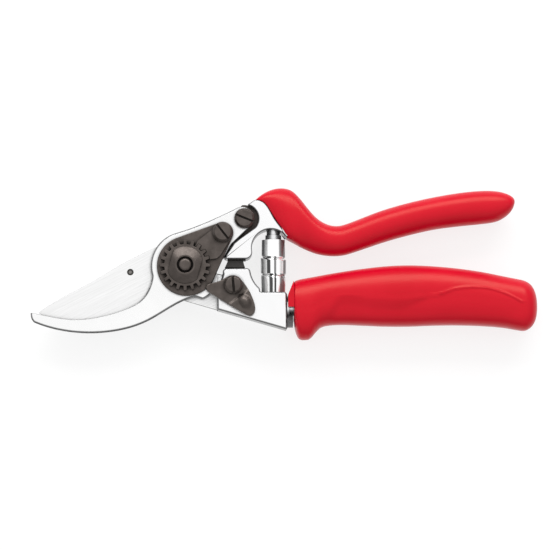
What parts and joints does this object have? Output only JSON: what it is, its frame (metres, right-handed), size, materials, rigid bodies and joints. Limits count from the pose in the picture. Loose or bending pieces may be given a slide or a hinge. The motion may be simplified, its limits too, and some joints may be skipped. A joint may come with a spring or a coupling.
{
  "type": "pruning shears",
  "caption": "Hand-held bypass pruning shears with a hook-shaped counter blade, volute spring, thumb catch and a revolving lower grip.",
  "frame": {"origin": "on the pivot axis, at the flat back of the pivot bolt's head, in the plane the closed shears lie on", "axes": "+X from the pivot towards the handles, +Y towards the upper handle, +Z out of the front face, along the pivot axis"},
  "size_m": [0.2119, 0.0648, 0.0222],
  "materials": {
    "polished_alloy": "polished forging",
    "polished_steel": "fine polished",
    "brushed_steel": "brushed along the blade",
    "bright_steel": "bright turned",
    "bush_bronze": "satin bronze",
    "blackened_steel": "warm grey-brown blackened",
    "spring_chrome": "mirror chrome",
    "black_rubber": "matte",
    "red_grip": "satin gloss dipped",
    "black_plastic": "moulded"
  },
  "bodies": {
    "lower_handle": {"lower_handle": "polished_alloy", "cutting_blade": "brushed_steel", "blade_rivet": "bright_steel", "blade_screws": "bright_steel", "blade_key_dowel": "bright_steel", "pivot_bushing": "bush_bronze", "rubber_bumper": "black_rubber", "catch_screw": "blackened_steel", "catch_washer": "bright_steel", "grip_axle": "bright_steel", "axle_washer": "bright_steel", "axle_nut": "bright_steel", "lower_spring_stud": "bright_steel", "volute_spring": "spring_chrome"},
    "upper_handle": {"upper_handle": "polished_alloy", "upper_grip": "red_grip", "counter_blade": "polished_steel", "tail_shim": "blackened_steel", "counter_blade_dowel": "bright_steel", "cover_plate": "blackened_steel", "pivot_bolt": "blackened_steel", "bolt_washer": "bright_steel", "adjusting_nut": "blackened_steel", "lock_segment": "blackened_steel", "segment_screw": "blackened_steel", "counter_blade_screw": "blackened_steel", "strike_pad": "black_rubber", "upper_spring_stud": "bright_steel"},
    "thumb_catch": {"thumb_catch": "blackened_steel"},
    "revolving_grip": {"grip_core": "black_plastic", "grip_cover": "red_grip", "front_bush": "bush_bronze", "rear_bush": "bush_bronze", "grip_end_plug": "black_plastic", "stop_lug": "red_grip"}
  },
  "joints": [
    {"name": "main_pivot", "type": "hinge", "parent": "lower_handle", "child": "upper_handle", "pos_m": [0, 0, 0], "axis": [0, 0, 1], "range_deg": [0, 28], "deforming": ["volute_spring"]},
    {"name": "catch_swing", "type": "hinge", "parent": "lower_handle", "child": "thumb_catch", "pos_m": [0.02, -0.0082, 0.0174], "axis": [0, 0, 1], "range_deg": [0, 36]},
    {"name": "grip_turn", "type": "hinge", "parent": "lower_handle", "child": "revolving_grip", "pos_m": [0.0425, -0.0174, 0.01], "axis": [1, 0, 0], "range_deg": [-45, 45]}
  ]
}
